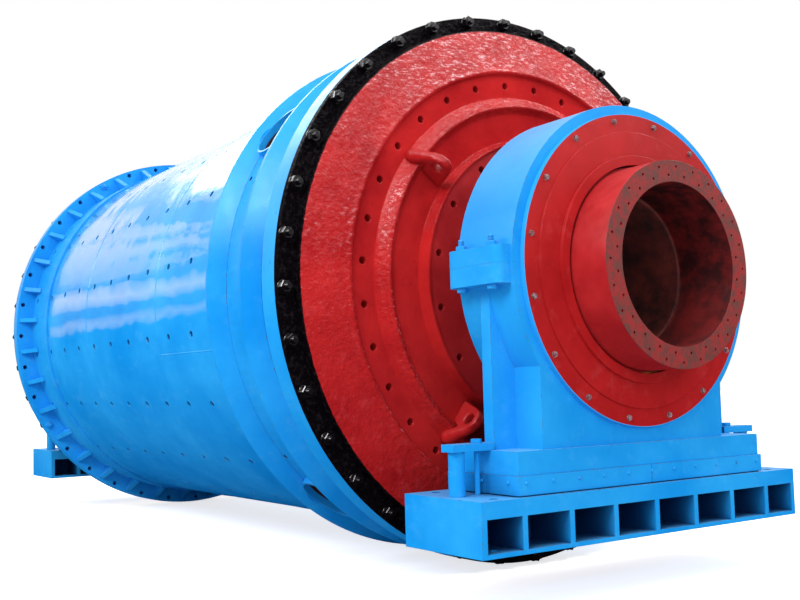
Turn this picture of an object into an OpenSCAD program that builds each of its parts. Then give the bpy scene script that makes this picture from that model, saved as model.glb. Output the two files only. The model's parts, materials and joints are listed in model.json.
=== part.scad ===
// Rod mill: a welded drum with cast end covers and hollow trunnions, turning in two split bearings.
// Origin: middle of the discharge bearing's base, on its underside. +X along the mill axis, away
// from the drum. +Z up. Millimetres.

/* [Drum] */
// Height of the mill axis over the undersides of the two bases
axis_h = 1268; // [1250:1:1300]
// Outer radius of the drum shell
shell_r = 1378; // [1360:1:1400]
// Thickness of the shell plate
shell_t = 28; // [20:1:36]
// Length of the drum between the two cover joints
drum_len = 4489; // [4470:1:4800]
// Middle of the base to the discharge cover joint
joint_gap = 703; // [680:1:760]
// Length of the feed end shell course
feed_course_len = 1387; // [1360:1:1460]
// Length of the middle shell course
middle_course_len = 1302; // [1280:1:1320]
// Turn of the drum about its axis at rest
drum_turn = -7; // [-20:0.5:20]

/* [Liner bolt holes] */
// Radius of a liner bolt hole in the shell
liner_hole_r = 20; // [12:1:22]
// Number of hole rows around the shell
liner_rows = 20; // [16:2:24]
// Holes in one row along the shell
liner_columns = 10; // [6:1:10]
// Distance between two holes of a row
liner_pitch = 336; // [330:1:338]
// Feed cover joint to the first hole of a row
liner_first = 173; // [165:1:185]
// Turn of the hole rows against the drum's mark
liner_turn = -1.5; // [-8:0.5:8]

/* [Discharge end rings] */
// Height of the two seal rings over the shell
ring_h = 118; // [105:1:130]
// Width of the front seal ring at its rim
front_rim = 20; // [12:1:26]
// Width of the rear seal ring at its rim
rear_rim = 16; // [10:1:30]
// Thickness of the port band over the shell
band_t = 38; // [30:1:50]
// Number of discharge ports in the port band
port_count = 4; // [2:1:4]
// Radius of a discharge port
port_r = 156; // [120:1:156]
// Thickness of the nozzle's wall round a discharge port
port_wall = 14; // [8:1:14]
// How far a port's nozzle stands over the band
port_rise = 34; // [20:1:50]
// Turn of the ports against the drum's mark
port_turn = -0.5; // [-4:0.5:4]
// Discharge cover joint to the middle of the ports
port_at = 578; // [570:1:606]
// Middle of the ports to the front edge of the front seal ring
front_ring_gap = 196; // [193:1:205]
// Middle of the ports to the front edge of the rear seal ring
rear_ring_gap = 204; // [200:1:230]
// Radius of a plug hole beside the ports
plug_r = 14; // [10:1:18]
// Turn of a plug hole from the middle between two ports
plug_turn = 32.75; // [25:0.25:34]
// Middle of the ports to the plug holes
plug_gap = 98; // [80:1:105]
// Height of the flanges at the cover joints over the shell
end_flange_h = 129; // [115:1:140]
// Length of the discharge end flange along the drum
end_flange_len = 126; // [110:1:150]

/* [Cover joints] */
// How far the feed end flange reaches past its cover
feed_flange_lip = 8; // [4:1:20]
// Thickness of the feed end flange
feed_flange_t = 80; // [50:1:100]
// Number of bolt holes in each cover joint
joint_bolts = 36; // [24:4:40]
// Middle of the joint bolts to the rim of a cover
joint_bolt_edge = 29; // [26:1:32]
// Radius of a bolt hole in the cover joints
joint_hole_r = 17; // [14:1:20]
// Depth of a bolt hole in the discharge end flange
joint_hole_depth = 90; // [60:1:120]
// Thickness of the neck ring over the shell
neck_t = 14; // [8:1:30]
// Length of the neck ring along the shell
neck_len = 390; // [300:1:400]
// Length of a gusset along the shell
gusset_len = 150; // [100:1:250]
// Thickness of a gusset
gusset_t = 34; // [20:1:45]
// Height of a gusset at its thin end
gusset_toe = 12; // [8:1:30]
// How far a gusset stays below the rim of the flange
gusset_drop = 21; // [10:1:30]

/* [End covers] */
// Thickness of a cover at its bolted rim
cover_rim_t = 36; // [28:1:50]
// Middle of the joint bolts to the edge of the raised face
bolt_land = 57; // [45:1:65]
// Rise of the raised face's edge over the bolted rim
face_step = 54; // [40:1:65]
// Thickness of the cover's wall along the axis
cover_wall = 90; // [70:1:120]
// Rise of the first crest over the raised face's edge
crest_1_rise = 64; // [50:1:80]
// Width of the first crest's inner slope
crest_1_w = 17; // [10:1:30]
// Drop from the first crest to the first terrace
terrace_1_drop = 11; // [6:1:20]
// Width of the first terrace
terrace_1_w = 128; // [110:1:145]
// Width of the slope up to the second crest
slope_2_w = 55; // [40:1:70]
// Rise of the second crest over the first terrace
crest_2_rise = 53; // [40:1:70]
// Width of the second crest's inner slope
crest_2_w = 35; // [20:1:50]
// Drop from the second crest to the second terrace
terrace_2_drop = 16; // [8:1:24]
// Width of the second terrace
terrace_2_w = 154; // [140:1:170]
// Width of the slope up to the third crest
slope_3_w = 16; // [8:1:24]
// Rise of the third crest over the second terrace
crest_3_rise = 66; // [60:1:80]
// Width of the third crest
crest_3_w = 13; // [8:1:20]
// Number of liner bolt holes in the first terrace
outer_holes = 32; // [24:4:40]
// Inner edge of the first terrace to its holes
outer_hole_at = 67; // [50:1:80]
// Number of bolt holes in the trunnion's flange
inner_holes = 16; // [12:2:20]
// Middle of the trunnion flange's holes to its rim
inner_hole_edge = 52; // [40:1:80]
// Turn of the trunnion flange's holes against the discharge ports
inner_hole_turn = 17.5; // [0:0.5:22]
// Radius of a bolt hole in a cover
cover_hole_r = 19; // [14:1:24]
// Number of lifting lugs on a cover
lugs = 4; // [2:1:4]
// Outer radius of a lug's eye
lug_r = 66; // [50:1:68]
// Radius of the hole in a lug's eye
lug_hole_r = 30; // [20:1:36]
// Thickness of a lug's eye
lug_t = 50; // [40:1:70]
// Height of a lug's foot between its eye and the second terrace
lug_foot = 48; // [30:1:60]
// Middle of a lug to the outer edge of the second terrace
lug_in = 25; // [10:1:60]
// Lug's foot to the outer edge of the second terrace
lug_edge = 10; // [4:1:20]
// Width of a lug's foot
lug_foot_w = 130; // [100:1:136]

/* [Trunnions] */
// Radius of the journal in the bearing
journal_r = 500; // [495:1:520]
// Step down from the journal to the trunnion's outer end
end_step = 8; // [4:1:20]
// Radius of a trunnion's bore at its outer end
bore_r = 389; // [360:1:400]
// Cover joint to the outer end face of a trunnion
trunnion_len = 1182; // [1120:1:1220]
// Outer radius of the trunnion's flange on the cover
trunnion_flange_r = 757; // [745:1:770]
// How far the trunnion's flange lies below the third crest
trunnion_flange_drop = 8; // [4:1:16]
// Thickness of the trunnion's flange
trunnion_flange_t = 56; // [40:1:60]
// Wall thickness of the trunnion's spigot in the cover
spigot_t = 81; // [50:1:100]
// Height of the trunnion's neck over the journal at its flange
neck_rise = 45; // [30:1:70]
// Length of the neck's taper down to the journal
neck_taper = 110; // [60:1:160]
// Step in a trunnion's bore down to the seat of its sleeve
seat_step = 5; // [3:1:12]
// Wall thickness of the sleeve in the trunnion
sleeve_t = 15; // [8:1:25]
// Outer end face of the trunnion to the sleeve's end
sleeve_depth = 325; // [250:1:450]
// Number of tapped holes in each row of the end face
end_holes = 24; // [12:12:36]
// Bore to the inner row of tapped holes
end_land_in = 31; // [24:1:36]
// Outer row of tapped holes to the rim of the end face
end_land_out = 30; // [20:1:36]
// Radius of a tapped hole in the end face
end_hole_r = 7; // [5:0.5:9]
// Depth of a tapped hole in the end face
end_hole_depth = 30; // [15:1:40]

/* [Bearings] */
// Journal to the outer radius of the bush, which is the bore of the lower housing
bush_t = 60; // [40:1:90]
// Bush to the outer radius of the housing
housing_t = 250; // [230:1:270]
// Width of the bearing housing along the axis
housing_w = 384; // [370:1:400]
// Middle of the housing outwards from the middle of the base
housing_shift = 25; // [0:1:30]
// Thickness of the cap
cap_t = 120; // [100:1:150]
// Middle of the web and the joint blocks outwards from the middle of the base
web_shift = 12; // [0:1:20]
// Housing to the end of a joint block, across the mill
block_reach = 72; // [65:1:90]
// Front face of the joint blocks to the front face of the housing
block_front = 17; // [5:1:30]
// Height of the cap's joint blocks over the joint
block_up = 83; // [60:1:100]
// Height of the pedestal's joint blocks below the joint
block_down = 91; // [60:1:110]
// Radius of the corners of a joint block
block_corner = 40; // [10:1:50]
// Width of the housing's face outside a seal disc
disc_edge = 48; // [30:1:80]
// Thickness of a seal disc
disc_t = 25; // [16:1:35]
// Width of a seal disc's rim outside its raised middle
disc_land = 88; // [60:1:110]
// Height of the raised middle of a seal disc
disc_step = 8; // [4:1:14]
// Width of the gland ring on the outer disc
gland_w = 47; // [30:1:80]
// Thickness of the gland ring
gland_t = 18; // [12:1:30]

/* [Pedestals] */
// How far the pedestal's web stays inside the housing, across the mill
web_inset = 7; // [2:1:40]
// Thickness of the pedestal's web
web_t = 65; // [40:1:80]
// Half width of the pedestal's body on the left side
body_left = 665; // [620:1:700]
// Half width of the pedestal's body on the right side
body_right = 570; // [540:1:700]
// Web to the end of the pedestal's foot
foot_reach = 30; // [20:1:40]
// Length of the pedestal's foot along the axis
foot_w = 478; // [460:1:500]
// Height of the pedestal's foot
foot_h = 106; // [80:1:115]
// Height of the sole plate under the foot
sole_h = 89; // [60:1:100]
// Thickness of the guard strips round the sole plate
strip_t = 11; // [6:1:16]
// Gap under the guard strips
strip_gap = 5; // [2:1:10]
// Gap between the two halves of the guard strips
strip_seam = 2; // [1:1:4]

/* [Bases] */
// Foot to the end of a base, across the mill
base_reach = 245; // [235:1:290]
// Foot to the side of a base, along the mill axis
base_lip = 37; // [25:1:60]
// Height of a base
base_h = 239; // [220:1:250]
// Thickness of a base's top plate
base_top = 75; // [60:1:90]
// Thickness of a base's bottom plate
base_bottom = 20; // [16:1:40]
// Thickness of the ribs between the pockets
base_rib = 29; // [20:1:32]
// Number of full pockets along one side of a base
base_pockets = 6; // [2:2:6]
// Width of a full pocket
pocket_y = 250; // [200:1:256]
// Thickness of the web between the pockets of the two sides
base_web = 24; // [16:1:40]
// End of a base to its foundation bolt holes
anchor_end = 128; // [100:1:140]
// Side of a base to its foundation bolt holes
anchor_side = 71; // [50:1:90]
// Radius of a foundation bolt hole
anchor_r = 21; // [15:1:25]

/* [Hold down gear] */
// Foot to the outer end of a hold down plate
clamp_reach = 212; // [190:1:220]
// Width of a hold down plate along the axis
clamp_w = 89; // [80:1:120]
// Thickness of a hold down plate
clamp_t = 34; // [25:1:50]
// Outer end of a hold down plate to the middle of its jacking post
post_inset = 49; // [40:1:60]
// Radius of a jacking post
post_r = 37; // [25:1:45]
// Foot to the middle of a hold down bolt
rod_reach = 47; // [40:1:60]
// Radius of a hold down bolt
rod_r = 12; // [8:1:16]
// Depth of a hold down bolt in the base
rod_depth = 50; // [30:1:58]
// Radius over the corners of a hold down bolt's head
head_r = 25; // [20:1:34]
// Height of a hold down bolt's head
head_h = 19; // [15:1:30]
// Housing to the middle of a joint stud
stud_reach = 37; // [35:1:42]
// Joint studs, half their distance along the axis
stud_x = 108; // [90:1:125]
// Radius of a joint stud
stud_r = 14; // [10:1:16]
// Radius over the corners of a joint stud's nut
nut_r = 24; // [20:1:25]
// Height of a joint stud's nut
nut_h = 24; // [16:1:30]
// Height of a joint stud beyond its nut
stud_end = 30; // [15:1:45]

/* [Fits] */
// Radial running gap of a journal in its bush
run_gap = 0.5; // [0.3:0.1:1]
// Radial gap of the seal discs round the journals
seal_gap = 6; // [5.5:0.5:10]
// Radial gap round studs and bolts in their holes
bolt_gap = 2; // [1:0.5:3]

/* [Hidden] */
$fn = 96;

blue = [0.10, 0.55, 0.93];
red = [0.75, 0.14, 0.14];
rust = [0.42, 0.22, 0.18];
bronze = [0.65, 0.45, 0.20];

// Cutters run this far past the faces that they cut.
over = 1;

joint_x = -joint_gap;
drum_x = joint_x - drum_len;
mid_x = joint_x - drum_len / 2;
inner_r = shell_r - shell_t;

ring_r = shell_r + ring_h;
band_r = shell_r + band_t;
neck_r = shell_r + neck_t;
front_ring_at = port_at - front_ring_gap;
rear_ring_at = port_at + rear_ring_gap;

end_flange_r = shell_r + end_flange_h;
feed_flange_r = end_flange_r + feed_flange_lip;
joint_bolt_circle = end_flange_r - joint_bolt_edge;
port_body_r = port_r + port_wall;

cover_face_r = joint_bolt_circle - bolt_land;
crest_3_r = trunnion_flange_r + crest_3_w;
slope_3_r = crest_3_r + slope_3_w;
terrace_2_r = slope_3_r + terrace_2_w;
crest_2_r = terrace_2_r + crest_2_w;
slope_2_r = crest_2_r + slope_2_w;
terrace_1_r = slope_2_r + terrace_1_w;
crest_1_r = terrace_1_r + crest_1_w;
cover_face = cover_rim_t + face_step;
crest_1 = cover_face + crest_1_rise;
terrace_1 = crest_1 - terrace_1_drop;
crest_2 = terrace_1 + crest_2_rise;
terrace_2 = crest_2 - terrace_2_drop;
crest_3 = terrace_2 + crest_3_rise;
trunnion_flange_at = crest_3 - trunnion_flange_drop;
spigot_at = trunnion_flange_at - trunnion_flange_t - cover_wall;
spigot_r = bore_r + spigot_t;
seat_r = bore_r - seat_step;
sleeve_end = trunnion_len - sleeve_depth;
end_r = journal_r - end_step;

seal_r = journal_r + seal_gap;
bush_r = journal_r + bush_t;
housing_r = bush_r + housing_t;
cap_bore_r = housing_r - cap_t;
block_y = housing_r + block_reach;
disc_r = housing_r - disc_edge;
disc_step_r = disc_r - disc_land;
gland_r = seal_r + gland_w;
housing_x = housing_shift - housing_w / 2;
disc_x = housing_x + housing_w;
gland_x = disc_x + disc_t + disc_step;

web_y = housing_r - web_inset;
foot_y = web_y + foot_reach;
foot_top = base_h + sole_h + foot_h;
base_y = foot_y + base_reach;
base_w = foot_w + 2 * base_lip;
clamp_end = foot_y + clamp_reach;
post_y = clamp_end - post_inset;
rod_y = foot_y + rod_reach;
stud_y = housing_r + stud_reach;

// ---- placing ----

// A turned piece: an outline's first value is the radius, its second the place along +X.
module turned(outline) {
    translate([0, 0, axis_h]) rotate([0, 90, 0]) rotate_extrude() polygon(outline);
}

module tube(x0, x1, r_in, r_out) {
    turned([[r_in, x0], [r_out, x0], [r_out, x1], [r_in, x1]]);
}

// A block between two corners.
module block(low, high) {
    translate(low) cube(high - low);
}

// A copy on the feed side, mirrored in the middle of the drum.
module feed_side() {
    translate([2 * mid_x, 0, 0]) mirror([1, 0, 0]) children();
}

// A copy on each side of the mill.
module both_sides() {
    children();
    mirror([0, 1, 0]) children();
}

// Turns with the drum. An angle of zero points to -Y, and angles rise towards +Z.
module on_drum(angle) {
    translate([0, 0, axis_h]) rotate([-angle - drum_turn, 0, 0]) translate([0, 0, -axis_h]) children();
}

// A ring of holes along the axis, with its first hole at an angle on the drum.
module hole_ring(count, circle_r, hole_r, x0, x1, first) {
    for (k = [0 : count - 1])
        on_drum(first + k * 360 / count)
            translate([x0, -circle_r, axis_h]) rotate([0, 90, 0]) cylinder(r = hole_r, h = x1 - x0);
}

// A hole through the drum's wall from outside.
module wall_hole(x, r) {
    translate([x, -ring_r - over, axis_h])
        rotate([-90, 0, 0]) cylinder(r = r, h = ring_r + 2 * over - inner_r * cos(asin(r / inner_r)));
}

// ---- drum ----

// The liner bolt holes that reach a stretch given by its distances from the feed cover joint.
module liner_holes(from, to) {
    for (i = [0 : liner_columns - 1])
        let (at = liner_first + i * liner_pitch)
            if (at > from - liner_hole_r && at < to + liner_hole_r)
                for (k = [0 : liner_rows - 1])
                    on_drum(liner_turn + k * 360 / liner_rows) wall_hole(drum_x + at, liner_hole_r);
}

// The discharge ports' holes, or the round bodies about them, by radius.
module ports(r = port_r) {
    for (k = [0 : port_count - 1])
        on_drum(45 + port_turn + k * 360 / port_count) wall_hole(joint_x - port_at, r);
}

module shell_course(from, to) {
    color(blue) difference() {
        tube(drum_x + from, drum_x + to, inner_r, shell_r);
        liner_holes(from, to);
        if (to == drum_len) ports();
    }
}

module shell_feed_course() {
    shell_course(0, feed_course_len);
}

module shell_middle_course() {
    shell_course(feed_course_len, feed_course_len + middle_course_len);
}

module shell_discharge_course() {
    shell_course(feed_course_len + middle_course_len, drum_len);
}

module feed_flange() {
    color(blue) difference() {
        tube(drum_x, drum_x + feed_flange_t, shell_r, feed_flange_r);
        hole_ring(joint_bolts, joint_bolt_circle, joint_hole_r,
                  drum_x - over, drum_x + feed_flange_t + over, 180 / joint_bolts);
    }
}

module feed_neck_ring() {
    color(blue) difference() {
        tube(drum_x + feed_flange_t, drum_x + feed_flange_t + neck_len, shell_r, neck_r);
        liner_holes(feed_flange_t, feed_flange_t + neck_len);
    }
}

// A plate with a slope from the flange's rim down to its thin end on the neck ring.
module gusset() {
    rim_r = feed_flange_r - gusset_drop;
    translate([drum_x + feed_flange_t, 0, axis_h - gusset_t / 2]) linear_extrude(gusset_t)
        polygon([[0, -shell_r], [gusset_len, -shell_r], [gusset_len, -neck_r - gusset_toe],
                 [gusset_toe, -rim_r], [0, -rim_r]]);
}

module feed_gussets() {
    color(blue) difference() {
        for (k = [0 : joint_bolts - 1]) on_drum(k * 360 / joint_bolts) gusset();
        tube(drum_x, mid_x, inner_r, neck_r);
    }
}

// Plug holes beside the ports, on two opposite sides of the drum.
module plug_holes() {
    for (side = [0, 180], way = [-1, 1])
        on_drum(side + way * plug_turn) wall_hole(joint_x - port_at - plug_gap, plug_r);
}

// A nozzle's blank: a round bar through the band, out to the nozzle's flat mouth.
module port_blank() {
    translate([joint_x - port_at, 0, axis_h]) rotate([90, 0, 0]) translate([0, 0, inner_r])
        cylinder(r = port_body_r, h = band_r + port_rise - inner_r);
}

module port_band() {
    color(blue) difference() {
        union() {
            tube(joint_x - rear_ring_at, joint_x - end_flange_len, inner_r, band_r);
            for (k = [0 : port_count - 1]) on_drum(45 + port_turn + k * 360 / port_count) port_blank();
        }
        tube(drum_x, joint_x, 0, shell_r);
        ports();
        plug_holes();
    }
}

module seal_ring(outline) {
    color(blue) difference() {
        turned(outline);
        ports(port_body_r);
    }
}

// Square at the back, with a slope down to the band in front.
module front_seal_ring() {
    x1 = joint_x - front_ring_at;
    seal_ring([[band_r, x1 - front_rim], [ring_r, x1 - front_rim],
               [ring_r, x1], [band_r, x1 + ring_r - band_r]]);
}

// As the front ring, but its rim reaches down behind the band to the shell.
module rear_seal_ring() {
    x1 = joint_x - rear_ring_at;
    seal_ring([[shell_r, x1 - rear_rim], [ring_r, x1 - rear_rim], [ring_r, x1],
               [band_r, x1 + ring_r - band_r], [band_r, x1], [shell_r, x1]]);
}

module discharge_end_flange() {
    color(blue) difference() {
        tube(joint_x - end_flange_len, joint_x, shell_r, end_flange_r);
        hole_ring(joint_bolts, joint_bolt_circle, joint_hole_r,
                  joint_x - joint_hole_depth, joint_x + over, 180 / joint_bolts);
    }
}

// ---- end covers and trunnions, as they lie at the discharge end ----

// A cast cover: a bolted rim, a broad face and two terraces, each behind a crest.
module cover() {
    flange_back = joint_x + trunnion_flange_at - trunnion_flange_t;
    color(red) difference() {
        turned([[end_flange_r, joint_x], [end_flange_r, joint_x + cover_rim_t],
                [cover_face_r, joint_x + cover_rim_t], [cover_face_r, joint_x + cover_face],
                [crest_1_r, joint_x + crest_1], [terrace_1_r, joint_x + terrace_1],
                [slope_2_r, joint_x + terrace_1], [crest_2_r, joint_x + crest_2],
                [terrace_2_r, joint_x + terrace_2], [slope_3_r, joint_x + terrace_2],
                [crest_3_r, joint_x + crest_3], [trunnion_flange_r, joint_x + crest_3],
                [trunnion_flange_r, flange_back], [spigot_r, flange_back],
                [spigot_r, joint_x + spigot_at],
                [crest_1_r, joint_x + crest_1 - cover_wall], [inner_r, joint_x]]);
        hole_ring(joint_bolts, joint_bolt_circle, joint_hole_r,
                  joint_x - over, joint_x + cover_rim_t + over, 180 / joint_bolts);
        hole_ring(outer_holes, slope_2_r + outer_hole_at, cover_hole_r, joint_x, joint_x + crest_1, 0);
    }
}

// A hollow trunnion: a flange let into the cover, a neck, the journal and a plain outer end.
module trunnion() {
    spigot_x = joint_x + spigot_at;
    flange_x = joint_x + trunnion_flange_at;
    flange_back = flange_x - trunnion_flange_t;
    end_x = joint_x + trunnion_len;
    hole_end = end_x - end_hole_depth;
    color(rust) difference() {
        turned([[seat_r, spigot_x], [spigot_r, spigot_x], [spigot_r, flange_back],
                [trunnion_flange_r, flange_back], [trunnion_flange_r, flange_x],
                [journal_r + neck_rise, flange_x], [journal_r, flange_x + neck_taper],
                [journal_r, disc_x + disc_t], [end_r, disc_x + disc_t],
                [end_r, end_x], [bore_r, end_x],
                [bore_r, joint_x + sleeve_end], [seat_r, joint_x + sleeve_end]]);
        hole_ring(inner_holes, trunnion_flange_r - inner_hole_edge, cover_hole_r,
                  flange_back - over, flange_x + over, inner_hole_turn);
        hole_ring(end_holes, bore_r + end_land_in, end_hole_r, hole_end, end_x + over, 0);
        hole_ring(end_holes, end_r - end_land_out, end_hole_r, hole_end, end_x + over,
                  180 / end_holes);
    }
}

module sleeve() {
    color(rust) tube(joint_x + spigot_at, joint_x + sleeve_end, seat_r - sleeve_t, seat_r);
}

// Lifting eyes that stand on the second terrace.
module lifting_lugs() {
    foot_x = joint_x + terrace_2;
    eye_x = foot_x + lug_foot + lug_r;
    lug_at = terrace_2_r - lug_in;
    color(red) for (k = [0 : lugs - 1])
        on_drum(45 + k * 360 / lugs) translate([0, -lug_at, axis_h - lug_t / 2])
            linear_extrude(lug_t) difference() {
                hull() {
                    translate([eye_x, 0]) circle(lug_r);
                    translate([foot_x, lug_edge - lug_in]) square([over, lug_foot_w]);
                }
                translate([eye_x, 0]) circle(lug_hole_r);
            }
}

module discharge_cover() {
    cover();
}

module discharge_trunnion() {
    trunnion();
}

module discharge_sleeve() {
    sleeve();
}

module discharge_lugs() {
    lifting_lugs();
}

module feed_cover() {
    feed_side() cover();
}

module feed_trunnion() {
    feed_side() trunnion();
}

module feed_sleeve() {
    feed_side() sleeve();
}

module feed_lugs() {
    feed_side() lifting_lugs();
}

// ---- bearings, as they lie at the discharge end ----

// A steel base with open pockets along both long sides and foundation bolt holes at its corners.
module base_frame() {
    pitch = pocket_y + base_rib;
    row_end = base_pockets / 2 * pitch + base_rib / 2;
    color(blue) difference() {
        block([-base_w / 2, -base_y, 0], [base_w / 2, base_y, base_h]);
        for (side = [0, 1]) mirror([side, 0, 0]) {
            for (i = [0 : base_pockets - 1])
                let (y = (i - (base_pockets - 1) / 2) * pitch) pocket(y - pocket_y / 2, y + pocket_y / 2);
            pocket(row_end, base_y - base_rib);
            pocket(base_rib - base_y, -row_end);
            for (way = [-1, 1])
                translate([base_w / 2 - anchor_side, way * (base_y - anchor_end), -over])
                    cylinder(r = anchor_r, h = base_h + 2 * over);
        }
        for (y = [-rod_y, rod_y])
            translate([web_shift, y, base_h - rod_depth]) cylinder(r = rod_r, h = rod_depth + over);
    }
}

module pocket(y0, y1) {
    block([base_web / 2, y0, base_bottom], [base_w / 2 + over, y1, base_h - base_top]);
}

module sole_plate() {
    color(blue) block([-foot_w / 2, -foot_y, base_h], [foot_w / 2, foot_y, base_h + sole_h]);
}

// Strips round the sole plate, in two halves with a seam in the middle of each long side.
module guard_strips() {
    x = foot_w / 2;
    low = base_h + strip_gap;
    high = base_h + sole_h;
    color(blue) difference() {
        block([-x - strip_t, -foot_y - strip_t, low], [x + strip_t, foot_y + strip_t, high]);
        block([-x, -foot_y, low - over], [x, foot_y, high + over]);
        block([-x - strip_t - over, -strip_seam / 2, low - over],
              [x + strip_t + over, strip_seam / 2, high + over]);
    }
}

// A joint block's outline seen from above, from the mill axis out to its rounded corners.
module block_outline() {
    r = block_corner;
    w = housing_w - block_front;
    translate([housing_x, 0]) {
        square([w, block_y - r]);
        translate([r, 0]) square([w - 2 * r, block_y]);
        for (x = [r, w - r]) translate([x, block_y - r]) circle(r);
    }
}

// Joint blocks on both sides, drilled for their studs.
module joint_blocks(z0, z1) {
    both_sides() translate([0, 0, z0]) linear_extrude(z1 - z0) difference() {
        block_outline();
        for (x = [-stud_x, stud_x]) translate([web_shift + x, stud_y]) circle(stud_r + bolt_gap);
    }
}

// The pedestal with its foot, its web and the lower half of the housing in one casting.
module pedestal() {
    web_x = web_shift - web_t / 2;
    color(blue) difference() {
        union() {
            block([-foot_w / 2, -foot_y, base_h + sole_h], [foot_w / 2, foot_y, foot_top]);
            block([housing_x, -body_left, foot_top], [disc_x, body_right, axis_h]);
            block([web_x, -web_y, foot_top], [web_x + web_t, web_y, axis_h]);
            joint_blocks(axis_h - block_down, axis_h);
            tube(housing_x, disc_x, bush_r, housing_r);
        }
        turned([[0, housing_x - over], [bush_r, housing_x - over], [bush_r, disc_x + over],
                [0, disc_x + over]]);
        above_joint();
    }
}

// Everything above the mill axis.
module above_joint() {
    block([-base_w, -base_y, axis_h], [base_w, base_y, axis_h + housing_r + over]);
}

// Everything from the mill axis down.
module below_joint() {
    block([-base_w, -base_y, axis_h - housing_r - over], [base_w, base_y, axis_h]);
}

module cap() {
    color(blue) difference() {
        union() {
            joint_blocks(axis_h, axis_h + block_up);
            tube(housing_x, disc_x, cap_bore_r, housing_r);
        }
        turned([[0, housing_x - over], [cap_bore_r, housing_x - over],
                [cap_bore_r, disc_x + over], [0, disc_x + over]]);
        below_joint();
    }
}

module bush() {
    color(bronze) difference() {
        tube(housing_x, disc_x, journal_r + run_gap, bush_r);
        above_joint();
    }
}

module outer_disc() {
    color(red) turned([[seal_r, disc_x], [disc_r, disc_x], [disc_r, disc_x + disc_t],
                       [disc_step_r, disc_x + disc_t], [disc_step_r, gland_x], [seal_r, gland_x]]);
}

module inner_disc() {
    color(blue) tube(housing_x - disc_t, housing_x, seal_r, disc_r);
}

module gland() {
    color(red) tube(gland_x, gland_x + gland_t, seal_r, gland_r);
}

module hex(r, z0, z1) {
    translate([0, 0, z0]) cylinder(r = r, h = z1 - z0, $fn = 6);
}

// Studs through the joint blocks, with a nut at each end.
module studs() {
    top = axis_h + block_up;
    bottom = axis_h - block_down;
    color(blue) both_sides() for (x = [-stud_x, stud_x])
        translate([web_shift + x, stud_y, 0]) {
            translate([0, 0, bottom - nut_h]) cylinder(r = stud_r, h = top - bottom + 2 * nut_h + stud_end);
            hex(nut_r, top, top + nut_h);
            hex(nut_r, bottom - nut_h, bottom);
        }
}

// Plates that reach from the pedestal's foot out over the jacking posts.
module clamps() {
    color(blue) both_sides() difference() {
        block([web_shift - clamp_w / 2, web_y, foot_top],
              [web_shift + clamp_w / 2, clamp_end, foot_top + clamp_t]);
        translate([web_shift, rod_y, foot_top - over])
            cylinder(r = rod_r + bolt_gap, h = clamp_t + 2 * over);
    }
}

module posts() {
    color(blue) both_sides()
        translate([web_shift, post_y, base_h]) cylinder(r = post_r, h = foot_top - base_h);
}

// Bolts that pull the plates down, screwed into the base.
module clamp_bolts() {
    top = foot_top + clamp_t;
    color(blue) both_sides() translate([web_shift, rod_y, 0]) {
        translate([0, 0, base_h - rod_depth]) cylinder(r = rod_r, h = top - base_h + rod_depth);
        hex(head_r, top, top + head_h);
    }
}

module discharge_base() {
    base_frame();
}

module discharge_sole_plate() {
    sole_plate();
}

module discharge_guard_strips() {
    guard_strips();
}

module discharge_pedestal() {
    pedestal();
}

module discharge_bush() {
    bush();
}

module discharge_cap() {
    cap();
}

module discharge_outer_disc() {
    outer_disc();
}

module discharge_inner_disc() {
    inner_disc();
}

module discharge_gland() {
    gland();
}

module discharge_studs() {
    studs();
}

module discharge_clamps() {
    clamps();
}

module discharge_posts() {
    posts();
}

module discharge_clamp_bolts() {
    clamp_bolts();
}

module feed_base() {
    feed_side() base_frame();
}

module feed_sole_plate() {
    feed_side() sole_plate();
}

module feed_guard_strips() {
    feed_side() guard_strips();
}

module feed_pedestal() {
    feed_side() pedestal();
}

module feed_bush() {
    feed_side() bush();
}

module feed_cap() {
    feed_side() cap();
}

module feed_outer_disc() {
    feed_side() outer_disc();
}

module feed_inner_disc() {
    feed_side() inner_disc();
}

module feed_gland() {
    feed_side() gland();
}

module feed_studs() {
    feed_side() studs();
}

module feed_clamps() {
    feed_side() clamps();
}

module feed_posts() {
    feed_side() posts();
}

module feed_clamp_bolts() {
    feed_side() clamp_bolts();
}

shell_feed_course();
shell_middle_course();
shell_discharge_course();
feed_flange();
feed_neck_ring();
feed_gussets();
port_band();
front_seal_ring();
rear_seal_ring();
discharge_end_flange();
discharge_cover();
discharge_lugs();
discharge_trunnion();
discharge_sleeve();
feed_cover();
feed_lugs();
feed_trunnion();
feed_sleeve();
discharge_base();
discharge_sole_plate();
discharge_guard_strips();
discharge_pedestal();
discharge_bush();
discharge_cap();
discharge_outer_disc();
discharge_inner_disc();
discharge_gland();
discharge_studs();
discharge_clamps();
discharge_posts();
discharge_clamp_bolts();
feed_base();
feed_sole_plate();
feed_guard_strips();
feed_pedestal();
feed_bush();
feed_cap();
feed_outer_disc();
feed_inner_disc();
feed_gland();
feed_studs();
feed_clamps();
feed_posts();
feed_clamp_bolts();
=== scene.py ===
"""Rod mill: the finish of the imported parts, the small parts on them, and the studio around them."""
import json
import math
import random

import bmesh
import bpy
from mathutils import Matrix, Vector, noise


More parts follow.
